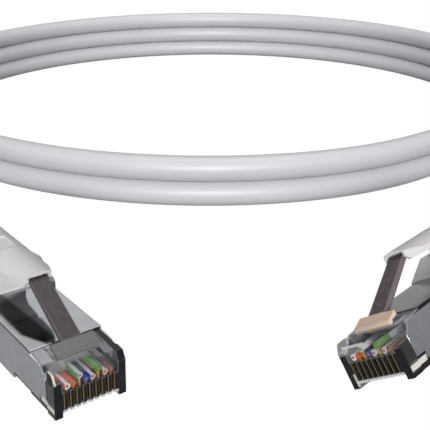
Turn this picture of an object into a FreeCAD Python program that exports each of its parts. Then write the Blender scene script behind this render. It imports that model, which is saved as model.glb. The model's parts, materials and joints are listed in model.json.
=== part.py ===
import FreeCAD, Part
import math
import os

from FreeCAD import Matrix, Placement, Rotation, Vector

# Ethernet patch cable, a shielded 8-way cable with a modular plug and a snagless boot on each end.
# All sizes are in millimetres. In the plug's own frame x runs back from the nose along the cable,
# y points to the side of contact 1, z points to the latch, and z = 0 is the underside of the nose.
# In the room's frame +Z is up, and the floor under the cable is z = 0.

# Plug housing
plug_width = 11.68
body_height = 7.6
nose_top_drop = 0.5
nose_bevel_length = 0.7
nose_bevel_drop = 1.3
nose_length = 7.0
housing_length = 21.5
shield_thickness = 0.3
contact_pitch = 1.02
contact_count = 8
comb_half_width = 4.6
comb_recess = 0.75
comb_length = 7.2
wall = 0.6
chamber_margin = 0.02
cradle_depth = 0.8
cradle_lip_depth = 0.6
cradle_lip_drop = 0.1

# Contact blades
blade_thickness = 0.35
blade_start = 0.5
blade_end = 6.4
blade_bottom = 0.95
blade_corner = 0.5
blade_heel = 0.6
slot_margin = 0.1
tooth_depth = 0.25
tooth_count = 3

# Conductors, with the split pair on contacts 3 and 6 raised into an upper row
conductor_diameter = 1.0
core_diameter = 0.5
conductor_start = 0.35
lower_row_height = 4.7
row_rise = 1.0
straight_end = 12.0
spread_middle = 14.8
bundle_start = 18.0
bundle_end = 30.0
bundle_half_rise = 0.6
bundle_spacing = 1.1
outer_conductor_rise = 0.2

# Load bar
load_bar_start = 6.6
load_bar_end = 9.9
load_bar_half_width = 4.4

# Shield
shield_seat = 1.6
shield_side_start = 2.3
shield_side_nose_bottom = 2.2
shield_side_step = 4.4
shield_side_bottom = 1.1
shield_notch = 13.0
shield_bottom_start = 8.0
shield_chamfer = 1.6
shield_stand_off = 0.11
shield_lap = 0.1

# Latch
hinge_x = 3.3
hinge_rise = 0.45
hinge_bead_radius = 0.45
hinge_clearance = 0.05
latch_base_half_width = 3.5
latch_ramp_end = 5.0
latch_ramp_rise = 1.0
latch_shoulder_length = 0.3
latch_shoulder_clearance = 0.25
latch_root_clearance = 1.2
strap_half_width_base = 1.6
strap_half_width_tip = 1.45
strap_length = 11.6
strap_thickness = 1.0
strap_angle = 30.0
strap_root_depth = 0.8
relief_depth = 0.3
latch_relief_clearance = 0.25

# Cable and what it carries into the plug
cable_diameter = 6.0
cable_axis_drop = 0.05
jacket_bore = 4.8
foil_thickness = 0.1
foil_setback = 2.0
braid_thickness = 0.2
jacket_setback = 1.1
braid_length = 7.2
crimp_thickness = 0.3
crimp_length = 4.5

# Boot
boot_start = 24.5
boot_end = 45.0
boot_ramp_length = 4.5
boot_shoulder = 35.0
boot_side_wall = 1.55
boot_side_taper = 0.9
boot_bottom_wall = 0.9
boot_top_wall = 0.5
boot_shoulder_rise = 2.3
boot_corner_radius = 1.3
boot_exit_wall = 1.2

# Latch guard, the springy hood on the boot, and the bridge that carries it
guard_hinge_overhang = 0.5
guard_hinge_depth = 1.2
guard_bead_radius = 0.75
guard_lip_overhang = 0.45
guard_depth = 2.2
guard_seam = 0.3
guard_tooth = 0.4
guard_lip_length = 3.4
guard_shoulder_half_width = 3.3
guard_notch_clearance = 0.25
guard_notch_roof = 0.6
guard_notch_length = 3.6
guard_tab_chamfer = 0.8
crown_rise = 0.9
crown_half_width = 3.7
crown_drop = 1.7
bridge_depth = 2.6
bridge_gap_length = 3.6
bridge_fillet = 1.0
bridge_back = 38.5
bridge_back_drop = 0.7
bridge_slope_end = 44.5
bridge_slope_foot = 8.3
panel_half_width = 1.4
panel_setback = 0.9
panel_length = 4.6
panel_depth = 0.35
groove_x = 32.0
groove_width = 0.8
groove_depth = 0.7
groove_pitch = 4.6
groove_count = 2

# Coil and lay of the cable, in the room's frame
coil_radius = 91.0
coil_centre = (-5.4, 153.6)
coil_start_angle = 20.0
coil_quarters = 10
coil_gap = 0.45
floor_cut = 0.5

# Where each boot lets the cable out, the way its nose points and how far it leans
exit_a = (-49.26, 18.27)
heading_a = -52.1
lean_a = 0.0
exit_b = (49.49, 17.57)
heading_b = -133.4
lean_b = 34.0

# The cable's free stretches: points between the straight exits, each as x, y and height of its axis
tail_a_points = [(-77.6, 67.8, 11.0)]
tail_b_points = [(81.1, 58.3, 5.2), (90.8, 82.4, 3.2), (95.8, 107.9, 3.0), (96.2, 133.9, 3.0)]
tail_exit_run = 26.0

CONTACTS = range(1, contact_count + 1)
UPPER_CONTACTS = (3, 6)
COLOURS = ("white_orange", "orange", "white_green", "blue", "white_blue", "green", "white_brown", "brown")

conductor_radius = conductor_diameter / 2
core_radius = core_diameter / 2
cable_radius = cable_diameter / 2
half_width = plug_width / 2
shield_half_width = half_width + shield_stand_off
core_half_width = shield_half_width - shield_thickness
shield_top = body_height + shield_thickness
nose_bevel_top = body_height - nose_top_drop
front_height = nose_bevel_top - nose_bevel_drop
cable_axis_height = shield_top / 2 - cable_axis_drop
braid_radius = cable_radius + braid_thickness
crimp_radius = braid_radius + crimp_thickness
coil_pitch = cable_diameter + coil_gap
cavity_start = load_bar_end
jacket_start = housing_length + jacket_setback


def box(x0, x1, y0, y1, z0, z1):
    """A block between two corners."""
    return Part.makeBox(x1 - x0, y1 - y0, z1 - z0, Vector(x0, y0, z0))


def prism_side(points, half):
    """An outline in the xz plane, pushed out to y = -half and y = half."""
    corners = [Vector(x, -half, z) for x, z in points]
    face = Part.Face(Part.makePolygon(corners + corners[:1]))
    return face.extrude(Vector(0, 2 * half, 0))


def prism_plan(points, bottom, top):
    """An outline in the xy plane, pushed up from bottom to top."""
    corners = [Vector(x, y, bottom) for x, y in points]
    face = Part.Face(Part.makePolygon(corners + corners[:1]))
    return face.extrude(Vector(0, 0, top - bottom))


def rod_x(radius, x0, x1, y=0.0, z=0.0):
    """A round bar along x."""
    return Part.makeCylinder(radius, x1 - x0, Vector(x0, y, z), Vector(1, 0, 0))


def rod_y(radius, half, x, z):
    """A round bar along y."""
    return Part.makeCylinder(radius, 2 * half, Vector(x, -half, z), Vector(0, 1, 0))


def rounded_section(x, y_half, z0, z1, radius):
    """A rounded rectangle across the cable at x, as a closed wire of four lines and four arcs."""
    y1, y0 = y_half, -y_half
    k = radius * (1 - math.sqrt(0.5))

    def at(y, z):
        return Vector(x, y, z)
    edges = [
        Part.LineSegment(at(y0 + radius, z0), at(y1 - radius, z0)),
        Part.Arc(at(y1 - radius, z0), at(y1 - k, z0 + k), at(y1, z0 + radius)),
        Part.LineSegment(at(y1, z0 + radius), at(y1, z1 - radius)),
        Part.Arc(at(y1, z1 - radius), at(y1 - k, z1 - k), at(y1 - radius, z1)),
        Part.LineSegment(at(y1 - radius, z1), at(y0 + radius, z1)),
        Part.Arc(at(y0 + radius, z1), at(y0 + k, z1 - k), at(y0, z1 - radius)),
        Part.LineSegment(at(y0, z1 - radius), at(y0, z0 + radius)),
        Part.Arc(at(y0, z0 + radius), at(y0 + k, z0 + k), at(y0 + radius, z0)),
    ]
    return Part.Wire([edge.toShape() for edge in edges])


def contact_y(pin):
    """The middle of a contact across the plug."""
    return contact_pitch * ((contact_count + 1) / 2 - pin)


def conductor_z(pin):
    """The height of a conductor's middle where the blade pierces it."""
    return lower_row_height + (row_rise if pin in UPPER_CONTACTS else 0.0)


def nose_top(x):
    """The height of the nose's bare top at x, between its bevel and the shield."""
    share = (x - nose_bevel_length) / (nose_length - nose_bevel_length)
    return nose_bevel_top + (body_height - nose_bevel_top) * share


hinge_z = nose_top(hinge_x) + hinge_rise
latch_ramp_top = shield_top + latch_ramp_rise
latch_shoulder = latch_ramp_end + latch_shoulder_length
latch_shoulder_bottom = shield_top + latch_shoulder_clearance
strap_tip_x = latch_ramp_end + strap_length * math.cos(math.radians(strap_angle))
strap_tip_z = latch_ramp_top + strap_length * math.sin(math.radians(strap_angle))
boot_half_width = shield_half_width + boot_side_wall
boot_shoulder_half_width = boot_half_width - boot_side_taper
boot_bottom = -boot_bottom_wall
boot_front_top = shield_top + boot_top_wall
boot_shoulder_top = boot_front_top + boot_shoulder_rise
crown_top = strap_tip_z + crown_rise
shield_length = boot_start + shield_seat
guard_hinge_x = boot_start - guard_hinge_overhang
boot_ramp_end = boot_start + boot_ramp_length
guard_hinge_z = crown_top - guard_hinge_depth
guard_bottom = crown_top - guard_depth
guard_notch_top = crown_top - guard_notch_roof
guard_lip_x = strap_tip_x - guard_lip_overhang
guard_shoulder_x = guard_lip_x + guard_lip_length
guard_notch_half_width = strap_half_width_tip + guard_notch_clearance
guard_lip_half_width = guard_notch_half_width + guard_tooth
bridge_gap_top = crown_top - bridge_depth
bridge_gap_end = boot_start + bridge_gap_length
panel_start = guard_hinge_x + panel_setback
panel_end = panel_start + panel_length


def conductor_chamber():
    """The stepped tunnel that the two rows of conductors run through."""
    half = contact_y(1) + conductor_radius + chamber_margin
    upper_half = contact_y(UPPER_CONTACTS[0]) + conductor_radius + chamber_margin
    low = box(-1, cavity_start, -half, half,
              lower_row_height - conductor_radius, lower_row_height + conductor_radius)
    high = box(-1, cavity_start, -upper_half, upper_half,
               lower_row_height, lower_row_height + row_rise + conductor_radius)
    return low.fuse(high)


def blade_shape(pin):
    """One contact blade: a flat blade with a rounded foot at the nose and teeth into its conductor."""
    base_top = conductor_z(pin) - conductor_radius
    tip = conductor_z(pin) + tooth_depth
    outline = [(blade_start, blade_bottom + blade_corner), (blade_start + blade_corner, blade_bottom),
               (blade_end, blade_bottom), (blade_end, base_top)]
    span = (blade_end - blade_start - 2 * blade_heel) / tooth_count
    for k in range(tooth_count):
        right = blade_end - blade_heel - k * span
        outline += [(right, base_top), (right - span / 2, tip), (right - span, base_top)]
    outline.append((blade_start, base_top))
    blade = prism_side(outline, blade_thickness / 2)
    blade.translate(Vector(0, contact_y(pin), 0))
    return blade


def blade_slot(pin):
    """The slot of one contact, open at the nose and below."""
    y = contact_y(pin)
    half = blade_thickness / 2
    return box(-1, blade_end, y - half, y + half, -1, conductor_z(pin) - conductor_radius)


def blade_bite(pin):
    """The cut that a blade's teeth leave in the conductor above it."""
    y = contact_y(pin)
    half = blade_thickness / 2
    low = conductor_z(pin) - conductor_radius - slot_margin
    return box(blade_start - slot_margin, blade_end, y - half, y + half, low, conductor_z(pin) + tooth_depth)


def load_bar_block():
    """The outside of the load bar, also the pocket it sits in."""
    return box(load_bar_start, load_bar_end, -load_bar_half_width, load_bar_half_width,
               lower_row_height - conductor_radius - wall,
               lower_row_height + row_rise + conductor_radius + wall / 2)


def make_housing():
    """The clear plug body with its posts, contact comb, conductor tunnel and rear cavity."""
    side = [(0, 0), (0, front_height), (nose_bevel_length, nose_bevel_top), (nose_length, body_height),
            (housing_length, body_height), (housing_length, shield_thickness),
            (shield_bottom_start, shield_thickness), (shield_bottom_start, 0)]
    body = prism_side(side, half_width)
    for sign in (-1, 1):
        flank = box(shield_side_start, housing_length + 1, core_half_width, half_width + 1, -1, body_height + 1)
        if sign < 0:
            flank = flank.mirror(Vector(0, 0, 0), Vector(0, 1, 0))
        body = body.cut(flank)
    floor = nose_top(hinge_x) - wall
    lip = hinge_z + hinge_bead_radius - cradle_lip_drop
    cradle = prism_side([(hinge_x - cradle_depth, floor), (hinge_x, floor), (hinge_x, lip),
                         (hinge_x - cradle_lip_depth, lip)], latch_base_half_width)
    body = body.fuse(cradle)
    relief = box(hinge_x, nose_length, -latch_base_half_width - latch_relief_clearance,
                 latch_base_half_width + latch_relief_clearance,
                 nose_top(hinge_x) - relief_depth, body_height + 1)
    bead_room = rod_y(hinge_bead_radius + hinge_clearance, latch_base_half_width + latch_relief_clearance,
                      hinge_x, hinge_z)
    comb = box(-1, comb_length, -comb_half_width, comb_half_width, -1, comb_recess)
    cavity = box(cavity_start, housing_length + 1, -load_bar_half_width, load_bar_half_width,
                 cable_axis_height - cable_radius + wall / 2, body_height - wall)
    body = body.cut([relief, bead_room, comb, cavity, conductor_chamber(), load_bar_block()])
    return body.cut([blade_slot(pin) for pin in CONTACTS]).removeSplitter()


def make_latch():
    """The latch: a hinge bead, the wide ramped base with its shoulders, and the rising strap."""
    bead = rod_y(hinge_bead_radius, latch_base_half_width, hinge_x, hinge_z)
    top = hinge_z + hinge_bead_radius
    base = prism_side([(hinge_x, top), (latch_ramp_end, latch_ramp_top), (latch_shoulder, latch_ramp_top),
                       (latch_shoulder, latch_shoulder_bottom), (hinge_x, hinge_z)], latch_base_half_width)
    angle = math.radians(strap_angle)
    way = Vector(math.cos(angle), 0, math.sin(angle))
    down = Vector(math.sin(angle), 0, -math.cos(angle))
    root = Vector(latch_ramp_end, 0, latch_ramp_top)
    start = root - way * strap_root_depth
    tip = root + way * strap_length

    def across(point, half):
        return [point + Vector(0, -half, 0), point + Vector(0, half, 0),
                point + down * strap_thickness + Vector(0, half, 0),
                point + down * strap_thickness + Vector(0, -half, 0)]
    near = Part.makePolygon(across(start, strap_half_width_base) + across(start, strap_half_width_base)[:1])
    far = Part.makePolygon(across(tip, strap_half_width_tip) + across(tip, strap_half_width_tip)[:1])
    strap = Part.makeLoft([near, far], True, True)
    under = box(hinge_x - 2, latch_shoulder + latch_root_clearance,
                -latch_base_half_width - 1, latch_base_half_width + 1,
                0, latch_shoulder_bottom)
    strap = strap.cut(under)
    return bead.fuse([base, strap]).removeSplitter()


def make_shield():
    """The stamped shield: top plate, notched sides, bottom plate and the rear wall round the cable."""
    outline = [(shield_side_start, shield_side_nose_bottom), (shield_side_step, shield_side_nose_bottom),
               (shield_side_step, shield_side_bottom), (shield_notch, shield_side_bottom),
               (shield_notch, 0), (shield_length, 0), (shield_length, shield_top),
               (nose_length, shield_top), (nose_length, nose_top(nose_length) - shield_lap),
               (shield_side_start + shield_chamfer, nose_top(shield_side_start + shield_chamfer) - shield_lap),
               (shield_side_start, nose_top(shield_side_start) - shield_lap - shield_chamfer)]
    outer = prism_side(outline, shield_half_width)
    inside = box(0, shield_length - shield_thickness, -core_half_width, core_half_width,
                 shield_thickness, body_height)
    below_nose = box(0, shield_bottom_start, -core_half_width, core_half_width, -1, shield_thickness + 0.01)
    hole = rod_x(braid_radius, shield_length - shield_thickness - 1, shield_length + 1, 0, cable_axis_height)
    return outer.cut([inside, below_nose, hole]).removeSplitter()


def make_contacts():
    """The eight gold-plated blades, each a solid of its own."""
    return Part.makeCompound([blade_shape(pin) for pin in CONTACTS])


def make_load_bar():
    """The wire guide: a small block with a hole for each conductor in two rows."""
    holes = [rod_x(conductor_radius, 0, housing_length, contact_y(pin), conductor_z(pin)) for pin in CONTACTS]
    return load_bar_block().cut(holes)


def conductor_route(pin):
    """The way of one conductor from its cut end at the nose to its place inside the jacket."""
    y, z = contact_y(pin), conductor_z(pin)
    side = 1 if y > 0 else -1
    outer = pin in (1, 2, contact_count - 1, contact_count)
    end_y = side * bundle_spacing * (1.5 if outer else 0.5)
    raised = pin in (2, contact_count - 1) or pin in UPPER_CONTACTS
    end_z = cable_axis_height + (bundle_half_rise if raised else -bundle_half_rise)
    keep = 0.92
    middle_y = end_y + (y - end_y) * (keep if outer else 0.75)
    middle_z = z if pin in (2, contact_count - 1) else (z + end_z) / 2
    if pin in (1, contact_count):
        middle_z = end_z + outer_conductor_rise
    return [Vector(conductor_start, y, z), Vector(straight_end, y, z),
            Vector(spread_middle, middle_y, middle_z), Vector(bundle_start, end_y, end_z),
            Vector(bundle_end, end_y, end_z)]


def rounded_path(points):
    """Straight runs through the points, joined by the largest tangent arcs that the runs allow."""
    edges = []
    radii = []
    here = points[0]
    for before, corner, after in zip(points, points[1:], points[2:]):
        back, on = (before - corner), (after - corner)
        shorter = min(back.Length, on.Length)
        back.normalize()
        on.normalize()
        turn = math.pi - back.getAngle(on)
        trim = 0.45 * shorter
        radius = trim / math.tan(turn / 2)
        radii.append(radius)
        start, end = corner + back * trim, corner + on * trim
        way = back + on
        way.normalize()
        middle = corner + way * (radius / math.cos(turn / 2) - radius)
        edges.append(Part.LineSegment(here, start).toShape())
        edges.append(Part.Arc(start, middle, end).toShape())
        here = end
    edges.append(Part.LineSegment(here, points[-1]).toShape())
    return Part.Wire(edges), radii


def tube_along(path, radius):
    """A round solid of one radius along a smooth path."""
    first = path.OrderedEdges[0]
    start = first.valueAt(first.FirstParameter)
    way = first.tangentAt(first.FirstParameter)
    circle = Part.Wire(Part.makeCircle(radius, start, way))
    return path.makePipeShell([circle], True, False)


def make_conductor(pin):
    """The insulation of one conductor, bored for its core and pierced by its blade."""
    path, radii = rounded_path(conductor_route(pin))
    solid = tube_along(path, conductor_radius)
    return solid.cut([tube_along(path, core_radius), blade_bite(pin)])


def make_cores():
    """The eight copper cores, notched where the blades bite."""
    cores = []
    for pin in CONTACTS:
        path, radii = rounded_path(conductor_route(pin))
        cores.append(tube_along(path, core_radius).cut(blade_bite(pin)))
    return Part.makeCompound(cores)


def ring_x(outer, inner, x0, x1):
    """A sleeve round the cable's axis."""
    axis = cable_axis_height
    return rod_x(outer, x0, x1, 0, axis).cut(rod_x(inner, x0 - 1, x1 + 1, 0, axis))


def make_foil():
    """The foil round the bundled conductors, up to where the jacket closes in behind them."""
    bore = jacket_bore / 2
    return ring_x(bore, bore - foil_thickness, bundle_start + foil_setback, bundle_end)


def make_jacket_end():
    """The cable's jacket inside the boot, hollow where the conductors are modelled."""
    solid = rod_x(cable_radius, jacket_start, boot_end, 0, cable_axis_height)
    return solid.cut(rod_x(jacket_bore / 2, jacket_start - 1, bundle_end, 0, cable_axis_height))


def make_braid():
    """The braid, folded back over the jacket's end."""
    sleeve = ring_x(braid_radius, cable_radius, jacket_start, jacket_start + braid_length)
    fold = ring_x(braid_radius, jacket_bore / 2, jacket_start - braid_thickness, jacket_start)
    return sleeve.fuse(fold).removeSplitter()


def make_crimp_ring():
    """The crimped ring behind the shield, pressed on the braid."""
    return ring_x(crimp_radius, braid_radius, shield_length, shield_length + crimp_length)


def crown(x0, x1):
    """The arched form that the guard and the bridge share, from x0 to x1."""
    left = Vector(x0, -crown_half_width, crown_top - crown_drop)
    right = Vector(x0, crown_half_width, crown_top - crown_drop)
    arch = Part.Arc(left, Vector(x0, 0, crown_top), right).toShape()
    low_left = Vector(x0, -crown_half_width, 0)
    low_right = Vector(x0, crown_half_width, 0)
    sides = Part.makePolygon([right, low_right, low_left, left])
    return Part.Face(Part.Wire([arch] + sides.Edges)).extrude(Vector(x1 - x0, 0, 0))


def make_boot():
    """The moulded boot: a body that tapers to the cable, and the bridge over the latch's gap."""
    exit_radius = cable_radius + boot_exit_wall
    corner = boot_corner_radius
    sections = [
        rounded_section(boot_start, boot_half_width, boot_bottom, boot_front_top, corner),
        rounded_section(boot_ramp_end, boot_half_width, boot_bottom, boot_shoulder_top, corner),
        rounded_section(boot_shoulder, boot_shoulder_half_width, boot_bottom, boot_shoulder_top, corner),
        rounded_section(boot_end, exit_radius, cable_axis_height - exit_radius,
                        cable_axis_height + exit_radius, exit_radius * 0.98),
    ]
    body = Part.makeLoft(sections, True, True)
    side = [(guard_hinge_x, crown_top + 1), (guard_hinge_x, guard_bottom),
            (bridge_gap_end - bridge_fillet, bridge_gap_top),
            (bridge_gap_end, bridge_gap_top - bridge_fillet),
            (bridge_gap_end, boot_shoulder_top + bridge_fillet / 2),
            (bridge_gap_end - bridge_fillet / 2, boot_front_top),
            (bridge_gap_end, cable_axis_height), (bridge_slope_end, cable_axis_height),
            (bridge_slope_end, bridge_slope_foot), (bridge_back, crown_top - bridge_back_drop),
            (bridge_back - 4 * bridge_back_drop, crown_top + 0.01), (bridge_back - 4 * bridge_back_drop, crown_top + 1)]
    bridge = prism_side(side, crown_half_width).common(crown(0, boot_end))
    panel = box(panel_start, panel_end, -panel_half_width, panel_half_width,
                crown_top - panel_depth, crown_top + 1)
    grooves = []
    for k in range(groove_count):
        start = groove_x + groove_pitch * k
        ring = crown(start, start + groove_width)
        core = ring.copy()
        core.translate(Vector(0, 0, -groove_depth))
        core = core.common(box(start, start + groove_width, groove_depth - crown_half_width,
                               crown_half_width - groove_depth, 0, crown_top))
        grooves.append(ring.cut(core).common(box(start, start + groove_width, -crown_half_width, crown_half_width,
                                                 boot_shoulder_top + bridge_fillet / 2, crown_top)))
    bridge = bridge.cut([panel] + grooves)
    socket = rod_y(guard_bead_radius + hinge_clearance, crown_half_width + 1, guard_hinge_x, guard_hinge_z)
    pocket = box(boot_start - 1, shield_length, -shield_half_width, shield_half_width, 0, shield_top)
    crimp_room = rod_x(crimp_radius, shield_length - 1, shield_length + crimp_length, 0, cable_axis_height)
    bore = rod_x(cable_radius, boot_start, boot_end + 1, 0, cable_axis_height)
    braid_room = rod_x(braid_radius, boot_start, jacket_start + braid_length, 0, cable_axis_height)
    return body.fuse(bridge).cut([socket, pocket, crimp_room, bore, braid_room]).removeSplitter()


def make_guard():
    """The latch guard: a crowned plate with a hinge bead, and a notch that the strap's tip lies in."""
    front = guard_hinge_x - guard_seam
    bead = rod_y(guard_bead_radius, crown_half_width, guard_hinge_x, guard_hinge_z)
    side = [(guard_lip_x, crown_top + 1), (guard_lip_x, guard_bottom + guard_tab_chamfer),
            (guard_lip_x + guard_tab_chamfer, guard_bottom), (front - guard_tab_chamfer, guard_bottom),
            (front, guard_hinge_z - guard_bead_radius / 2), (guard_hinge_x, guard_hinge_z - guard_bead_radius / 2),
            (guard_hinge_x, guard_hinge_z + guard_bead_radius / 2),
            (front, guard_hinge_z + guard_bead_radius / 2), (front, crown_top + 1)]
    plan = [(guard_lip_x, guard_lip_half_width), (guard_lip_x, -guard_lip_half_width),
            (guard_shoulder_x, -guard_shoulder_half_width), (front - guard_seam, -crown_half_width),
            (guard_hinge_x + 1, -crown_half_width), (guard_hinge_x + 1, crown_half_width),
            (front - guard_seam, crown_half_width), (guard_shoulder_x, guard_shoulder_half_width)]
    half = guard_notch_half_width
    notch = box(guard_lip_x - 1, guard_lip_x + guard_notch_length, -half, half, 0, guard_notch_top)
    whole = prism_side(side, crown_half_width).fuse(bead).common(prism_plan(plan, 0, crown_top + 2))
    return whole.common(crown(0, boot_end)).cut(notch).removeSplitter()


def rest_pitch(lean):
    """How far the nose tips down, so that it and the boot's front edge both touch the floor."""
    a = math.radians(lean)
    nose = half_width * math.sin(a)
    across = (boot_half_width - boot_corner_radius) * math.sin(a)
    boot = across - (boot_bottom + boot_corner_radius) * math.cos(a) + boot_corner_radius
    return math.degrees(math.atan((boot - nose) / boot_start)), nose


def plug_placement(exit_point, heading, lean):
    """Puts a plug on the floor with its cable leaving at the exit point."""
    pitch, height = rest_pitch(lean)
    turn = Rotation(Vector(0, 0, 1), heading + 180)
    turn = turn.multiply(Rotation(Vector(0, 1, 0), -pitch)).multiply(Rotation(Vector(1, 0, 0), -lean))
    reach = turn.multVec(Vector(boot_end, 0, cable_axis_height))
    return Placement(Vector(exit_point[0] - reach.x, exit_point[1] - reach.y, height), turn)


def plug_nodes(suffix, place):
    """Every piece of one end of the cable, set in its place, by name."""
    pieces = {
        "plug_housing": make_housing(),
        "latch": make_latch(),
        "shield": make_shield(),
        "contact_blades": make_contacts(),
        "load_bar": make_load_bar(),
        "conductor_cores": make_cores(),
        "foil_wrap": make_foil(),
        "jacket_end": make_jacket_end(),
        "braid_collar": make_braid(),
        "crimp_ring": make_crimp_ring(),
        "boot": make_boot(),
        "latch_guard": make_guard(),
    }
    for pin, colour in zip(CONTACTS, COLOURS):
        pieces["conductor_" + colour] = make_conductor(pin)
    placed = {}
    for name, shape in pieces.items():
        copy = shape.copy()
        copy.Placement = place.multiply(copy.Placement)
        placed[name + "_" + suffix] = copy
    return placed


def coil_point(quarter):
    """A quarter point of the coil's axis, and the way the cable runs there."""
    angle = math.radians(coil_start_angle + 90 * quarter)
    ground = cable_radius - (0.0 if quarter % 4 == 0 else floor_cut)
    height = ground + coil_pitch * (quarter // 4)
    point = Vector(coil_centre[0] + coil_radius * math.cos(angle),
                   coil_centre[1] + coil_radius * math.sin(angle), height)
    return point, Vector(-math.sin(angle), math.cos(angle), 0)


def tangent_arc(start, corner, end):
    """The arc that touches both lines from the corner at its ends."""
    middle = (start + end) * 0.5
    half = (end - start).Length / 2
    rise = corner - middle
    depth = rise.Length
    bend = math.atan2(depth, half)
    return Part.Arc(start, middle + rise * (half * math.tan(bend / 2) / depth), end).toShape()


def coil_path():
    """Two tangent arcs for each quarter turn, and a straight end one cable diameter long at each end."""
    first, way = coil_point(0)
    edges = [Part.LineSegment(first - way * cable_diameter, first).toShape()]
    for quarter in range(coil_quarters):
        start, leave = coil_point(quarter)
        end, arrive = coil_point(quarter + 1)
        chord = end - start
        a = 2 * (1 - leave.dot(arrive))
        b = 2 * chord.dot(leave + arrive)
        reach = (-b + math.sqrt(b * b + 4 * a * chord.dot(chord))) / (2 * a)
        near, far = start + leave * reach, end - arrive * reach
        meet = (near + far) * 0.5
        edges.append(tangent_arc(start, near, meet))
        edges.append(tangent_arc(meet, far, end))
    last, way = coil_point(coil_quarters)
    edges.append(Part.LineSegment(last, last + way * cable_diameter).toShape())
    return Part.Wire(edges)


def make_coil():
    """The coil's turns as one unbroken tube, cut flat where it lies on the floor."""
    path = coil_path()
    solid = tube_along(path, cable_radius)
    points = path.discretize(Distance=5.0)
    apart = 12
    gap = min((a - b).Length for i, a in enumerate(points) for b in points[i + apart:]) - cable_diameter
    print("coil: length", round(path.Length, 1), "least gap to itself", round(gap, 3),
          "volume", round(solid.Volume, 1), "section by length",
          round(math.pi * cable_radius ** 2 * path.Length, 1))
    reach = 2 * coil_radius
    floor = box(coil_centre[0] - reach, coil_centre[0] + reach,
                coil_centre[1] - reach, coil_centre[1] + reach, -cable_diameter, 0)
    return solid.cut(floor)


def make_tail(name, place, coil_end, coil_way, middle_points):
    """A free stretch of the cable, from a boot's exit to one end of the coil."""
    start = place.multVec(Vector(boot_end, 0, cable_axis_height))
    leave = place.Rotation.multVec(Vector(1, 0, 0))
    points = [start, start + leave * tail_exit_run]
    points += [Vector(*point) for point in middle_points]
    points += [coil_end + coil_way * tail_exit_run, coil_end]
    path, radii = rounded_path(points)
    solid = tube_along(path, cable_radius)
    print(name, "length", round(path.Length, 1), "radii", [round(r, 1) for r in radii],
          "volume", round(solid.Volume, 1), "section by length",
          round(math.pi * cable_radius ** 2 * path.Length, 1))
    return solid


def main():
    """Builds every piece and writes one STEP file for each."""
    place_a = plug_placement(exit_a, heading_a, lean_a)
    place_b = plug_placement(exit_b, heading_b, lean_b)
    nodes = {}
    nodes.update(plug_nodes("a", place_a))
    nodes.update(plug_nodes("b", place_b))
    first, first_way = coil_point(0)
    last, last_way = coil_point(coil_quarters)
    nodes["cable_coil"] = make_coil()
    nodes["cable_tail_a"] = make_tail("tail a", place_a, last + last_way * cable_diameter, last_way,
                                      tail_a_points)
    nodes["cable_tail_b"] = make_tail("tail b", place_b, first - first_way * cable_diameter, -first_way,
                                      tail_b_points)
    os.makedirs("parts", exist_ok=True)
    for name, shape in nodes.items():
        shape.exportStep("parts/" + name + ".step")
    return nodes


if __name__ == "__main__":
    main()
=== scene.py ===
"""A shielded ethernet patch cable: a coil of pale grey cable with a plug and a boot on each end."""

import json
import logging
import math
from dataclasses import dataclass
from enum import Enum
from typing import Any, Optional, Union

import bpy
from mathutils import Matrix, Vector

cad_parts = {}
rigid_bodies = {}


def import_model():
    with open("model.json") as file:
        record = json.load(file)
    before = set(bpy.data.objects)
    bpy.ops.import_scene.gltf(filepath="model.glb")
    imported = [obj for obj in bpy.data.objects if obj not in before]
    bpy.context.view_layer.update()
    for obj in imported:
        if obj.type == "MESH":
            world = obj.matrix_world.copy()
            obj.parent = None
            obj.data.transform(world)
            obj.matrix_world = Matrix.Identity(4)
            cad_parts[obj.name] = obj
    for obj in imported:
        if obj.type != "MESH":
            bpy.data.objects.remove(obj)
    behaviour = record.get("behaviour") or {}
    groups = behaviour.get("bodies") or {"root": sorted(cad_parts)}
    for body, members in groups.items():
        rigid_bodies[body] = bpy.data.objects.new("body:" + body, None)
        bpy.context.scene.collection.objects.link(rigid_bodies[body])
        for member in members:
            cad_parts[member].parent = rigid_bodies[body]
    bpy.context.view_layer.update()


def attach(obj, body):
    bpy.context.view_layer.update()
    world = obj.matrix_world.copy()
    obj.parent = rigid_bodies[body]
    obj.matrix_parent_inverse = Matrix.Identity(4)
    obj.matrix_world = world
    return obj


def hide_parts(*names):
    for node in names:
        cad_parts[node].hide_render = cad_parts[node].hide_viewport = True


LOG = logging.getLogger("patch_cable")
MM = 0.001
ROOT_BODY = "cable_and_plugs"
CONTACT_PITCH = 1.02
SCREEN_WHITE = 255

Number = Union[int, float]
Colour = tuple[float, float, float]

WHITE: Colour = (1.0, 1.0, 1.0)


def from_screen(red: int, green: int, blue: int) -> Colour:
    """Turns a colour as seen on a screen, 0 to 255, into the linear one that a shader takes.

    Args:
        red: The red part.
        green: The green part.
        blue: The blue part.

    Returns:
        The linear red, green and blue.
    """
    def linear(value: int) -> float:
        """One channel, made linear."""
        share = value / SCREEN_WHITE
        return share / 12.92 if share <= 0.04045 else ((share + 0.055) / 1.055) ** 2.4
    return linear(red), linear(green), linear(blue)


@dataclass(frozen=True)
class Zone:
    """A stretch along one axis in millimetres, with soft edges. Where low or high is None it has no end."""

    low: Optional[float]
    high: Optional[float]
    soft: float


@dataclass(frozen=True)
class Grain:
    """Soft noise: how many lumps to a millimetre, how many finer layers and how strong those are."""

    scale: float
    detail: float
    rough: float = 0.5


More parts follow.
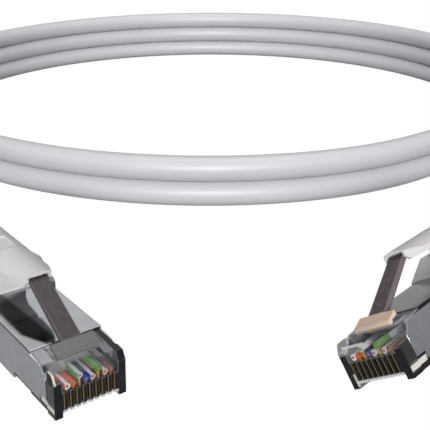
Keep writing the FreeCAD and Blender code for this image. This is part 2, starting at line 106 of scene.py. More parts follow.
@dataclass(frozen=True)
class Lie:
    """How a plug lies: where its nose is in millimetres, and its heading, tip and lean in degrees."""

    nose: tuple[float, float, float]
    heading: float
    tip: float
    lean: float

    def matrix(self) -> Matrix:
        """Works out the plug's place.

        Returns:
            The place in the room, in metres, for a frame that runs back from the nose along the cable.
        """
        turned = Matrix.Rotation(math.radians(self.heading + 180), 4, "Z")
        tipped = Matrix.Rotation(math.radians(-self.tip), 4, "Y")
        leaned = Matrix.Rotation(math.radians(-self.lean), 4, "X")
        return Matrix.Translation(Vector(self.nose) * MM) @ turned @ tipped @ leaned


class Socket:
    """An output socket of a shader node, on which Python's operators do maths."""

    def __init__(self, graph: "Graph", socket: bpy.types.NodeSocket) -> None:
        """Wraps a socket.

        Args:
            graph: The graph it is in.
            socket: The output socket.
        """
        self.graph = graph
        self.socket = socket

    def combine(self, operation: str, *others: Union["Socket", Number], first: bool = True) -> "Socket":
        """Adds a Math node.

        Args:
            operation: The Math node's operation.
            others: The other values, as sockets or numbers.
            first: Whether this socket is the first value.

        Returns:
            The node's output.
        """
        node = self.graph.node("ShaderNodeMath", {"operation": operation})
        values = (self, *others) if first else (*others, self)
        for slot, value in zip(node.inputs, values):
            self.graph.set(slot, value)
        return self.graph.socket(node, "Value")

    def __add__(self, other: Union["Socket", Number]) -> "Socket":
        """self + other"""
        return self.combine("ADD", other)

    def __radd__(self, other: Number) -> "Socket":
        """other + self"""
        return self.combine("ADD", other)

    def __sub__(self, other: Union["Socket", Number]) -> "Socket":
        """self - other"""
        return self.combine("SUBTRACT", other)

    def __rsub__(self, other: Number) -> "Socket":
        """other - self"""
        return self.combine("SUBTRACT", other, first=False)

    def __mul__(self, other: Union["Socket", Number]) -> "Socket":
        """self * other"""
        return self.combine("MULTIPLY", other)

    def __rmul__(self, other: Number) -> "Socket":
        """other * self"""
        return self.combine("MULTIPLY", other)

    def __truediv__(self, other: Union["Socket", Number]) -> "Socket":
        """self / other"""
        return self.combine("DIVIDE", other)

    def highest(self, other: Union["Socket", Number]) -> "Socket":
        """The larger of self and other."""
        return self.combine("MAXIMUM", other)

    def lowest(self, other: Union["Socket", Number]) -> "Socket":
        """The smaller of self and other."""
        return self.combine("MINIMUM", other)

    def size(self) -> "Socket":
        """The value without its sign."""
        return self.combine("ABSOLUTE")

    def over(self, level: float, soft: float) -> "Socket":
        """A mask that rises from 0 to 1 round a level.

        Args:
            level: Where the mask is a half.
            soft: Half the width of its rise.

        Returns:
            The mask.
        """
        node = self.graph.node("ShaderNodeMapRange", {"interpolation_type": "SMOOTHSTEP"}, Value=self,
                               From_Min=level - soft, From_Max=level + soft)
        return self.graph.socket(node, "Result")

    def inside(self, zone: Zone) -> "Socket":
        """A mask that is 1 inside a zone.

        Args:
            zone: The zone.

        Returns:
            The mask.
        """
        if zone.low is None:
            return 1 - self.over(zone.high, zone.soft)
        if zone.high is None:
            return self.over(zone.low, zone.soft)
        return self.over(zone.low, zone.soft) * (1 - self.over(zone.high, zone.soft))


class Graph:
    """A node tree in the making."""

    def __init__(self, tree: bpy.types.NodeTree) -> None:
        """Empties a node tree.

        Args:
            tree: The node tree.
        """
        self.tree = tree
        tree.nodes.clear()

    def set(self, slot: bpy.types.NodeSocket, value: Any) -> None:
        """Gives an input a link or a value of its own.

        Args:
            slot: The input.
            value: A socket, a number, a colour or a vector.
        """
        if isinstance(value, Socket):
            self.tree.links.new(value.socket, slot)
        elif slot.type == "RGBA":
            slot.default_value = (*value, 1.0)
        else:
            slot.default_value = value

    def node(self, kind: str, settings: Optional[dict[str, Any]] = None, **inputs: Any) -> bpy.types.Node:
        """Adds any node.

        Args:
            kind: The node's type.
            settings: Its own settings, such as a Math node's operation.
            inputs: Values or sockets for its inputs, with underscores for spaces.

        Returns:
            The node.
        """
        made = self.tree.nodes.new(kind)
        for key, value in (settings or {}).items():
            setattr(made, key, value)
        for key, value in inputs.items():
            self.set(next(s for s in made.inputs if s.name == key.replace("_", " ") and s.enabled), value)
        return made

    def socket(self, node: bpy.types.Node, name: str) -> Socket:
        """One output of a node, ready for maths."""
        return Socket(self, next(s for s in node.outputs if s.name == name and s.enabled))


class Recipe(Graph):
    """A material in the making: one Principled shader and the nodes that feed it."""

    def __init__(self, name: str) -> None:
        """Starts an empty material.

        Args:
            name: The material's name.
        """
        self.material = bpy.data.materials.new(name)
        self.material.use_nodes = True
        super().__init__(self.material.node_tree)
        self.shader = self.node("ShaderNodeBsdfPrincipled")
        self.node("ShaderNodeOutputMaterial", Surface=self.socket(self.shader, "BSDF"))

    def place(self, matrix: Matrix) -> Socket:
        """The point on the surface in a plug's own frame, in millimetres.

        Args:
            matrix: The plug's place in the room, in metres.

        Returns:
            The point as a vector socket.
        """
        point = self.socket(self.node("ShaderNodeTexCoord"), "Object")
        turned = self.node("ShaderNodeMapping", {"vector_type": "TEXTURE"}, Vector=point,
                           Location=matrix.to_translation(), Rotation=matrix.to_euler("XYZ"),
                           Scale=(MM, MM, MM))
        return self.socket(turned, "Vector")

    def room(self) -> Socket:
        """The point on the surface in the room's frame, in millimetres."""
        return self.place(Matrix.Identity(4))

    def split(self, vector: Socket) -> tuple[Socket, Socket, Socket]:
        """The three parts of a vector."""
        node = self.node("ShaderNodeSeparateXYZ", Vector=vector)
        return self.socket(node, "X"), self.socket(node, "Y"), self.socket(node, "Z")

    def noise(self, vector: Socket, grain: Grain) -> Socket:
        """Adds soft noise.

        Args:
            vector: Where to read it.
            grain: Its scale and its layers.

        Returns:
            The noise, 0 to 1.
        """
        node = self.node("ShaderNodeTexNoise", Vector=vector, Scale=grain.scale, Detail=grain.detail,
                         Roughness=grain.rough)
        return self.socket(node, "Fac")

    def stretched(self, vector: Socket, scale: tuple[float, float, float]) -> Socket:
        """A vector with each of its parts scaled."""
        node = self.node("ShaderNodeMapping", {"vector_type": "POINT"}, Vector=vector, Scale=scale)
        return self.socket(node, "Vector")

    def blend(self, mask: Socket, low: Union[Colour, Socket], high: Union[Colour, Socket]) -> Socket:
        """A colour that goes from one to another.

        Args:
            mask: 0 for the first colour, 1 for the second.
            low: The first colour.
            high: The second colour.

        Returns:
            The colour.
        """
        node = self.node("ShaderNodeMix", {"data_type": "RGBA"}, Factor=mask, A=low, B=high)
        return self.socket(node, "Result")

    def feed(self, **values: Any) -> None:
        """Sets the Principled shader's inputs.

        Args:
            values: Numbers or sockets, by the input's name with underscores for spaces.
        """
        for key, value in values.items():
            self.set(self.shader.inputs[key.replace("_", " ")], value)

    def bump(self, height: Socket, depth: float, strength: float) -> None:
        """Feeds the shader's normal from a height.

        Args:
            height: The height, 0 to 1.
            depth: How deep 1 is, in millimetres.
            strength: The bump's strength.
        """
        node = self.node("ShaderNodeBump", Height=height, Distance=depth * MM, Strength=strength)
        self.feed(Normal=self.socket(node, "Normal"))


def darker(colour: Colour, share: float) -> Colour:
    """A colour at a share of its brightness."""
    return tuple(part * share for part in colour)


@dataclass(frozen=True)
class Vinyl:
    """Satin flexible plastic, as on the cable's jacket and the boots."""

    name: str
    colour: Colour
    roughness: float
    grain: Grain
    grain_depth: float
    shine: float = 0.5
    mottling: Grain = Grain(0.09, 3.0)
    mottling_share: float = 0.94
    handling: Grain = Grain(0.5, 4.0, 0.7)
    handling_stretch: tuple[float, float, float] = (0.3, 0.3, 1.0)
    handling_gloss: float = 0.14
    refraction: float = 1.5
    bump_strength: float = 0.7

    def make(self) -> bpy.types.Material:
        """Builds the faint mottling, the fine moulded grain and the slightly uneven gloss.

        Returns:
            The material.
        """
        recipe = Recipe(self.name)
        point = recipe.room()
        cloud = recipe.noise(point, self.mottling)
        grain = recipe.noise(point, self.grain)
        handling = recipe.noise(recipe.stretched(point, self.handling_stretch), self.handling)
        recipe.feed(Base_Color=recipe.blend(cloud, darker(self.colour, self.mottling_share), self.colour),
                    Roughness=self.roughness + (handling - 0.5) * self.handling_gloss,
                    IOR=self.refraction, Specular_IOR_Level=self.shine)
        recipe.bump(grain, self.grain_depth, self.bump_strength)
        return recipe.material


@dataclass(frozen=True)
class NoseZones:
    """Where the clear nose's colour changes, and where its painted shade and highlights lie: x runs back, y
    to contact 1's side and z to the latch.

    A blade's share is a share of the contacts' pitch.
    """

    front_x: Zone = Zone(None, 0.3, 0.12)
    post_y: Zone = Zone(4.55, None, 0.12)
    post_z: Zone = Zone(None, 5.9, 0.25)
    far_half_y: Zone = Zone(None, 0.0, 0.2)
    comb_x: Zone = Zone(None, 7.4, 0.2)
    comb_z: Zone = Zone(None, 4.1, 0.15)
    outside_y: Zone = Zone(5.7, None, 0.05)
    flank_y: Zone = Zone(5.5, None, 0.05)
    blade_z: Zone = Zone(1.1, 4.2, 0.2)
    blade_share: Zone = Zone(0.15, 0.29, 0.02)
    edge_y: Zone = Zone(4.6, None, 0.1)
    edge_z: Zone = Zone(5.4, None, 0.5)
    side_x: Zone = Zone(None, 2.6, 0.3)
    side_z: Zone = Zone(1.9, 5.2, 0.2)
    sill_z: Zone = Zone(None, 0.75, 0.08)
    strip_x: Zone = Zone(0.2, 4.4, 0.1)
    strip_z: Zone = Zone(0.85, 1.7, 0.06)
    rib_y: Zone = Zone(4.45, 4.8, 0.05)
    rib_z: Zone = Zone(0.3, 2.3, 0.15)
    gleam_x: Zone = Zone(None, 1.9, 0.3)
    gleam_y: Zone = Zone(5.4, 5.75, 0.05)
    gleam_z: Zone = Zone(5.7, None, 0.2)
    cream_x: Zone = Zone(None, 0.75, 0.1)
    cream_y: Zone = Zone(0.5, 5.0, 0.15)
    cream_z: Zone = Zone(6.2, 6.6, 0.06)
    tip_x: Zone = Zone(None, 2.0, 0.3)
    tip_z: Zone = Zone(None, 1.15, 0.15)
    brow_y: Zone = Zone(0.4, 5.9, 0.2)
    brow_z: Zone = Zone(5.35, 6.15, 0.12)
    shoulder_x: Zone = Zone(None, 2.6, 0.3)
    shoulder_y: Zone = Zone(3.6, None, 0.3)
    shoulder_z: Zone = Zone(5.8, None, 0.2)
    ledge_x: Zone = Zone(1.2, None, 0.3)
    ledge_y: Zone = Zone(-4.6, -3.2, 0.15)
    ledge_z: Zone = Zone(5.9, None, 0.3)
    veil_x: Zone = Zone(3.4, None, 0.4)
    post_drop: float = 1.2


@dataclass(frozen=True)
class ClearNose:
    """The plug's clear polycarbonate: see-through over the conductors, with painted near-black shade in its
    thick edges and painted highlights on others.
    """

    name: str
    matrix: Matrix
    painted_cream_light_share: float
    clear: Colour = from_screen(198, 200, 204)
    # Painted shade: the grey of the front's upper rim.
    band: Colour = from_screen(132, 135, 139)
    gilt: Colour = from_screen(140, 122, 70)
    # Painted shade: the near-black of the thick parts.
    edge: Colour = from_screen(20, 18, 24)
    # Painted highlight: the cream of edges that catch the light.
    highlight_strip: Colour = from_screen(226, 222, 210)
    tip: Colour = from_screen(214, 212, 214)
    roughness: float = 0.14
    swirl_gloss: float = 0.1
    refraction: float = 1.45
    shine: float = 0.3
    swirl: Grain = Grain(0.7, 3.0)
    swirl_clear: Zone = Zone(0.5, None, 0.2)
    swirl_share: float = 0.85
    ripple: Grain = Grain(1.6, 2.0)
    ripple_depth: float = 0.02
    bump_strength: float = 0.4
    side_share: float = 0.95
    gilt_share: float = 0.8
    thin_alpha: float = 0.08
    deep_alpha: float = 0.74
    dark_alpha: float = 0.98
    light_alpha: float = 0.95
    tip_alpha: float = 0.7
    grey_alpha: float = 0.85
    zones: NoseZones = NoseZones()

    def dark(self, x: Socket, y: Socket, z: Socket) -> Socket:
        """Finds the end posts, fins, edges and sill, so thick that they look black; that black is painted
        shade.

        Args:
            x: How far back from the nose, in millimetres.
            y: How far to the side of contact 1.
            z: How far up from the plug's underside.

        Returns:
            The mask.
        """
        at = self.zones
        far_half = y.inside(at.far_half_y)
        post_top = z + far_half * (at.post_drop * self.painted_cream_light_share)
        posts = x.inside(at.front_x) * y.size().inside(at.post_y) * post_top.inside(at.post_z)
        fins = x.inside(at.comb_x) * z.inside(at.comb_z) * (1 - y.size().inside(at.outside_y))
        edge = y.size().inside(at.edge_y) * z.inside(at.edge_z) * far_half * (1 - self.painted_cream_light_share)
        side = y.size().inside(at.flank_y) * z.inside(at.side_z) * x.inside(at.side_x)
        sill = y.size().inside(at.flank_y) * z.inside(at.sill_z)
        return posts.highest(fins).highest(edge).highest(side * self.side_share).highest(sill)

    def light(self, x: Socket, y: Socket, z: Socket) -> Socket:
        """Finds the edges painted with a cream highlight.

        Args:
            x: How far back from the nose, in millimetres.
            y: How far to the side of contact 1.
            z: How far up from the plug's underside.

        Returns:
            The mask.
        """
        at = self.zones
        highlight_strip = y.size().inside(at.flank_y) * z.inside(at.strip_z) * x.inside(at.strip_x)
        rib = x.inside(at.front_x) * y.inside(at.rib_y) * z.inside(at.rib_z) * self.painted_cream_light_share
        gleam = x.inside(at.gleam_x) * y.inside(at.gleam_y) * z.inside(at.gleam_z) * (1 - self.painted_cream_light_share)
        cream = z.inside(at.cream_z) * x.inside(at.cream_x) * y.inside(at.cream_y) * self.painted_cream_light_share
        return highlight_strip.highest(cream).highest(rib).highest(gleam)

    def grey(self, x: Socket, y: Socket, z: Socket) -> Socket:
        """Finds the painted grey shade round the front's upper rim.

        Args:
            x: How far back from the nose, in millimetres.
            y: How far to the side of contact 1.
            z: How far up from the plug's underside.

        Returns:
            The mask.
        """
        at = self.zones
        brow = x.inside(at.front_x) * z.inside(at.brow_z) * y.inside(at.brow_y)
        shoulder = x.inside(at.shoulder_x) * y.inside(at.shoulder_y) * z.inside(at.shoulder_z)
        ledge = y.inside(at.ledge_y) * z.inside(at.ledge_z) * x.inside(at.ledge_x) * (1 - self.painted_cream_light_share)
        return (brow.highest(shoulder) * self.painted_cream_light_share).highest(ledge)

    def make(self) -> bpy.types.Material:
        """Builds the finish from the plug's own coordinates.

        Returns:
            The material.
        """
        recipe = Recipe(self.name)
        point = recipe.place(self.matrix)
        x, y, z = recipe.split(point)
        at = self.zones
        between_posts = 1 - y.size().inside(at.post_y)
        swirl = recipe.noise(point, self.swirl)
        dark, light, grey = self.dark(x, y, z), self.light(x, y, z), self.grey(x, y, z)
        slots = (y / CONTACT_PITCH).combine("FRACT")
        gilt = x.inside(at.front_x) * between_posts * z.inside(at.blade_z) * slots.inside(at.blade_share)
        tips = z.inside(at.tip_z) * between_posts * x.inside(at.tip_x)
        cloudy = darker(self.clear, self.swirl_share)
        colour = recipe.blend(swirl.inside(self.swirl_clear), cloudy, self.clear)
        # Painted shade: the thick parts are painted near-black.
        colour = recipe.blend(dark, colour, self.edge)
        colour = recipe.blend(gilt * self.gilt_share, colour, self.gilt)
        colour = recipe.blend(tips, colour, self.tip)
        # Painted shade: the grey round the front's upper rim.
        colour = recipe.blend(grey, colour, self.band)
        # Painted highlights on the edges that catch a cream light.
        colour = recipe.blend(light, colour, self.highlight_strip)
        alpha = self.thin_alpha + x.inside(at.veil_x) * (self.deep_alpha - self.thin_alpha)
        alpha = alpha.highest(dark * self.dark_alpha).highest(light * self.light_alpha)
        alpha = alpha.highest(tips * self.tip_alpha).highest(grey * self.grey_alpha)
        recipe.feed(Base_Color=colour, Alpha=alpha, Roughness=self.roughness + swirl * self.swirl_gloss,
                    IOR=self.refraction, Specular_IOR_Level=self.shine)
        recipe.bump(recipe.noise(point, self.ripple), self.ripple_depth, self.bump_strength)
        return recipe.material


@dataclass(frozen=True)
class LatchTintAndPaintedLight:
    """The latch's colours: its own smoky tint, with painted light that differs with how each plug is lit.
    """

    strap: Colour = from_screen(74, 66, 67)
    deep: Colour = from_screen(54, 48, 50)
    flank: Colour = from_screen(92, 85, 84)
    # Painted light: the base's colour stands in for the light it picks up.
    base: Colour = from_screen(104, 106, 108)


@dataclass(frozen=True)
class SmokyLatch:
    """The latch's polycarbonate: a smoky strap, and a base whose lighter colour is painted light."""

    name: str
    matrix: Matrix
    tint_and_painted_light: LatchTintAndPaintedLight
    roughness: float = 0.3
    refraction: float = 1.45
    shine: float = 0.3
    cloud: Grain = Grain(0.9, 4.0, 0.65)
    cloud_stretch: tuple[float, float, float] = (0.7, 1.6, 0.7)
    cloud_light: Zone = Zone(0.52, None, 0.2)
    cloud_gloss: float = 0.16
    cloud_depth: float = 0.05
    bump_strength: float = 0.6
    edge_x: Zone = Zone(5.2, None, 0.3)
    edge_y: Zone = Zone(1.38, None, 0.06)
    base_x: Zone = Zone(None, 5.1, 0.15)
    alpha: float = 0.93
    edge_alpha: float = 0.98

    def make(self) -> bpy.types.Material:
        """Builds the strap's cloudy depth, the lighter edge along its side and the base, whose colour is
        painted light.

        Returns:
            The material.
        """
        recipe = Recipe(self.name)
        point = recipe.place(self.matrix)
        x, y, _ = recipe.split(point)
        cloud = recipe.noise(recipe.stretched(point, self.cloud_stretch), self.cloud)
        strap = recipe.blend(cloud.inside(self.cloud_light), self.tint_and_painted_light.deep, self.tint_and_painted_light.strap)
        edge = y.size().inside(self.edge_y) * x.inside(self.edge_x)
        strap = recipe.blend(edge, strap, self.tint_and_painted_light.flank)
        # Painted light: the base is painted in a lighter colour.
        colour = recipe.blend(x.inside(self.base_x), strap, self.tint_and_painted_light.base)
        recipe.feed(Base_Color=colour, Alpha=self.alpha + edge * (self.edge_alpha - self.alpha),
                    Roughness=self.roughness + cloud * self.cloud_gloss, IOR=self.refraction,
                    Specular_IOR_Level=self.shine)
        recipe.bump(cloud, self.cloud_depth, self.bump_strength)
        return recipe.material


@dataclass(frozen=True)
class SheetSteel:
    """Bright nickel-plated sheet, faintly drawn along the plug, with painted reflections and painted shade
    on its top.
    """

    name: str
    matrix: Matrix
    colour: Colour
    seam_width: float
    painted_reflection_share: float
    painted_top_shade: float
    roughness: float = 0.07
    seam: Colour = from_screen(46, 44, 48)
    # Painted reflection: the colour of the bright band on the shield's top.
    gleam: Colour = from_screen(236, 237, 240)
    height: float = 7.9
    front: float = 8.0
    seam_soft: float = 0.06
    seam_y: Zone = Zone(5.85, None, 0.02)
    top_z: Zone = Zone(7.8, None, 0.05)
    patch_x: Zone = Zone(7.8, None, 0.6)
    patch_inner: float = 1.15
    patch_inner_slope: float = 0.053
    patch_inner_soft: float = 0.45
    patch_outer: float = 3.3
    patch_outer_slope: float = 0.45
    patch_outer_most: float = 4.9
    patch_outer_soft: float = 0.5
    dark_reflection_share: float = 0.2
    gleam_share: float = 0.7
    painted_top_shade_share: float = 0.12
    lines: Grain = Grain(1.4, 3.0, 0.6)
    lines_stretch: tuple[float, float, float] = (0.12, 5.0, 5.0)
    lines_gloss: float = 0.07
    lines_height: float = 0.02
    rub: Grain = Grain(0.35, 4.0, 0.6)
    rub_dull: Zone = Zone(0.55, None, 0.25)
    rub_rough: Zone = Zone(0.6, None, 0.2)
    rub_share: float = 0.86
    rub_gloss: float = 0.06
    wave: Grain = Grain(0.12, 1.0)
    wave_depth: float = 0.08
    bump_strength: float = 0.5

    def painted_reflection(self, x: Socket, y: Socket) -> tuple[Socket, Socket]:
        """Finds the painted dark reflection beside the strap and the painted bright reflection band outside
        it.

        Args:
            x: How far back from the nose, in millimetres.
            y: How far to the side of contact 1.

        Returns:
            The masks of the painted dark reflection and of the painted bright band.
        """
        back = x - self.front
        outer_edge = (back * self.patch_outer_slope + self.patch_outer).lowest(self.patch_outer_most)
        inner_edge = back * self.patch_inner_slope + self.patch_inner
        outside = (y - outer_edge).over(0.0, self.patch_outer_soft)
        beside = (inner_edge - y).over(0.0, self.patch_inner_soft)
        return (1 - outside.highest(beside)) * x.inside(self.patch_x), outside

    def make(self) -> bpy.types.Material:
        """Builds the drawing lines, the rub marks, the slightly wavy sheet, and the painted reflections and
        painted shade on its top.

        Returns:
            The material.
        """
        recipe = Recipe(self.name)
        point = recipe.place(self.matrix)
        lines = recipe.noise(recipe.stretched(point, self.lines_stretch), self.lines)
        rub = recipe.noise(point, self.rub)
        wave = recipe.noise(point, self.wave)
        x, y, z = recipe.split(point)
        seam = y.size().inside(self.seam_y) * z.over(self.height - self.seam_width, self.seam_soft)
        top = z.inside(self.top_z)
        painted_reflection, outside = self.painted_reflection(x, y)
        # Painted reflection: a bright, less metallic band outside the dark patch.
        band = outside * top * self.painted_reflection_share * self.gleam_share
        sheet = recipe.blend(rub.inside(self.rub_dull), self.colour, darker(self.colour, self.rub_share))
        # Painted reflection: a dark patch on the top beside the strap.
        sheet = recipe.blend(painted_reflection * top * self.painted_reflection_share, sheet, darker(self.colour, self.dark_reflection_share))
        sheet = recipe.blend(band, sheet, self.gleam)
        # Painted shade: the whole top darkened.
        sheet = recipe.blend(top * self.painted_top_shade, sheet, darker(self.colour, self.painted_top_shade_share))
        drawn = self.roughness + (lines - 0.5) * self.lines_gloss
        recipe.feed(Base_Color=recipe.blend(seam, sheet, self.seam), Metallic=1 - band,
                    Roughness=drawn + rub.inside(self.rub_rough) * self.rub_gloss)
        recipe.bump(wave + lines * self.lines_height, self.wave_depth, self.bump_strength)
        return recipe.material


@dataclass(frozen=True)
class Plating:
    """A small bright metal part: contact blades, copper cores, foil or crimp ring."""

    name: str
    colour: Colour
    roughness: float
    pattern: Grain
    metal: float = 1.0
    dull_share: float = 0.75
    dull_gloss: float = 0.16
    bump_depth: float = 0.02
    bump_strength: float = 0.6

    def make(self) -> bpy.types.Material:
        """Builds the fine unevenness in colour and gloss.

        Returns:
            The material.
        """
        recipe = Recipe(self.name)
        grain = recipe.noise(recipe.room(), self.pattern)
        recipe.feed(Base_Color=recipe.blend(grain, darker(self.colour, self.dull_share), self.colour),
                    Metallic=self.metal, Roughness=self.roughness + (grain - 0.5) * self.dull_gloss)
        recipe.bump(grain, self.bump_depth, self.bump_strength)
        return recipe.material


@dataclass(frozen=True)
class Weave:
    """The tinned braid: two sets of fine strands that cross."""

    name: str
    matrix: Matrix
    colour: Colour = from_screen(176, 172, 164)
    axis_height: float = 3.9
    pitch: float = 5.0
    strands: float = 12.0
    painted_gap_shade: float = 0.4
    roughness: float = 0.35
    strand_gloss: float = 0.1
    strand_depth: float = 0.08
    bump_strength: float = 0.8

    def make(self) -> bpy.types.Material:
        """Builds the strands as slanting waves round the cable.

        Returns:
            The material.
        """
        recipe = Recipe(self.name)
        x, y, z = recipe.split(recipe.place(self.matrix))
        angle = y.combine("ARCTAN2", z - self.axis_height)
        one = (x * self.pitch + angle * self.strands).combine("SINE")
        two = (x * self.pitch - angle * self.strands).combine("SINE")
        strands = one.highest(two) * 0.5 + 0.5
        # Painted shade: darker in the gaps between the strands.
        recipe.feed(Base_Color=recipe.blend(strands, darker(self.colour, self.painted_gap_shade), self.colour),
                    Metallic=1.0, Roughness=self.roughness + strands * self.strand_gloss)
        recipe.bump(strands, self.strand_depth, self.bump_strength)
        return recipe.material


@dataclass(frozen=True)
class Insulation:
    """A conductor's coloured insulation, plain or white with a stripe."""

    name: str
    matrix: Matrix
    colour: Colour
    stripe: Optional[Colour]
    across: float
    stripe_start: float = 0.3
    stripe_soft: float = 0.05
    striped_x: Zone = Zone(None, 13.0, 1.0)
    cloud: Grain = Grain(0.9, 3.0)
    cloud_share: float = 0.85
    roughness: float = 0.38
    cloud_gloss: float = 0.1
    refraction: float = 1.5
    cloud_depth: float = 0.02
    bump_strength: float = 0.4

    def make(self) -> bpy.types.Material:
        """Builds the cloudy plastic, and its stripe along the side of contact 1.

        Returns:
            The material.
        """
        recipe = Recipe(self.name)
        point = recipe.place(self.matrix)
        x, y, _ = recipe.split(point)
        cloud = recipe.noise(point, self.cloud)
        base = recipe.blend(cloud, darker(self.colour, self.cloud_share), self.colour)
        if self.stripe is not None:
            mark = (y - self.across).over(self.stripe_start, self.stripe_soft) * x.inside(self.striped_x)
            base = recipe.blend(mark, base, self.stripe)
        recipe.feed(Base_Color=base, Roughness=self.roughness + cloud * self.cloud_gloss,
                    IOR=self.refraction)
        recipe.bump(cloud, self.cloud_depth, self.bump_strength)
        return recipe.material


class Bench:
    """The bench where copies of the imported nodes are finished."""

    MERGE = 2e-6
    FLAT = math.radians(1.5)
    SMOOTH = math.radians(35)
    ROUNDING_STEPS = 3

    @staticmethod
    def alone(piece: bpy.types.Object) -> None:
        """Selects one object and nothing else.

        Args:
            piece: The object.
        """
        bpy.ops.object.select_all(action="DESELECT")
        piece.select_set(True)
        bpy.context.view_layer.objects.active = piece

    @classmethod
    def copy_of(cls, node: str, name: str) -> bpy.types.Object:
        """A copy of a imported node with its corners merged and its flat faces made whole.

        Args:
            node: The node's name.
            name: The new piece's name.

        Returns:
            The new piece.
        """
        source = bpy.data.objects[node]
        piece = bpy.data.objects.new(name, source.data.copy())
        bpy.context.scene.collection.objects.link(piece)
        piece.data.materials.clear()
        cls.alone(piece)
        bpy.ops.object.mode_set(mode="EDIT")
        bpy.ops.mesh.select_all(action="SELECT")
        bpy.ops.mesh.remove_doubles(threshold=cls.MERGE)
        bpy.ops.mesh.dissolve_limited(angle_limit=cls.FLAT)
        bpy.ops.object.mode_set(mode="OBJECT")
        return piece

    @classmethod
    def eased(cls, piece: bpy.types.Object, width: float, angle: float) -> None:
        """Rounds a piece's sharp edges and smooths its shading.

        Args:
            piece: The piece.
            width: How far the rounding reaches, in millimetres.
            angle: The least angle between faces, in degrees, that counts as sharp.
        """
        cls.alone(piece)
        modifier = piece.modifiers.new("eased edges", "BEVEL")
        modifier.width = width * MM
        modifier.segments = cls.ROUNDING_STEPS
        modifier.limit_method = "ANGLE"
        modifier.angle_limit = math.radians(angle)
        modifier.miter_outer = "MITER_ARC"
        bpy.ops.object.modifier_apply(modifier=modifier.name)
        bpy.ops.object.shade_smooth_by_angle(angle=cls.SMOOTH)
        modifier = piece.modifiers.new("flat faces stay flat", "WEIGHTED_NORMAL")
        modifier.keep_sharp = True
        bpy.ops.object.modifier_apply(modifier=modifier.name)

    @staticmethod
    def dress(piece: bpy.types.Object, material: bpy.types.Material) -> None:
        """Gives a piece one material all over.

        Args:
            piece: The piece.
            material: What it is made of.
        """
        if piece.material_slots:
            for slot in piece.material_slots:
                slot.material = material
        else:
            piece.data.materials.append(material)


class End(Enum):
    """The two ends of the cable."""

    LEFT = "a"
    RIGHT = "b"


@dataclass(frozen=True)
class PlugLook:
    """One plug's colours, with the painted light, shade and reflections on its plastic and steel that
    differ between the two plugs.
    """

    tint_and_painted_light: LatchTintAndPaintedLight = LatchTintAndPaintedLight()
    steel: Colour = from_screen(171, 173, 177)
    seam_width: float = 0.2
    painted_cream_light_share: float = 0.0
    painted_reflection_share: float = 1.0
    painted_top_shade: float = 0.0


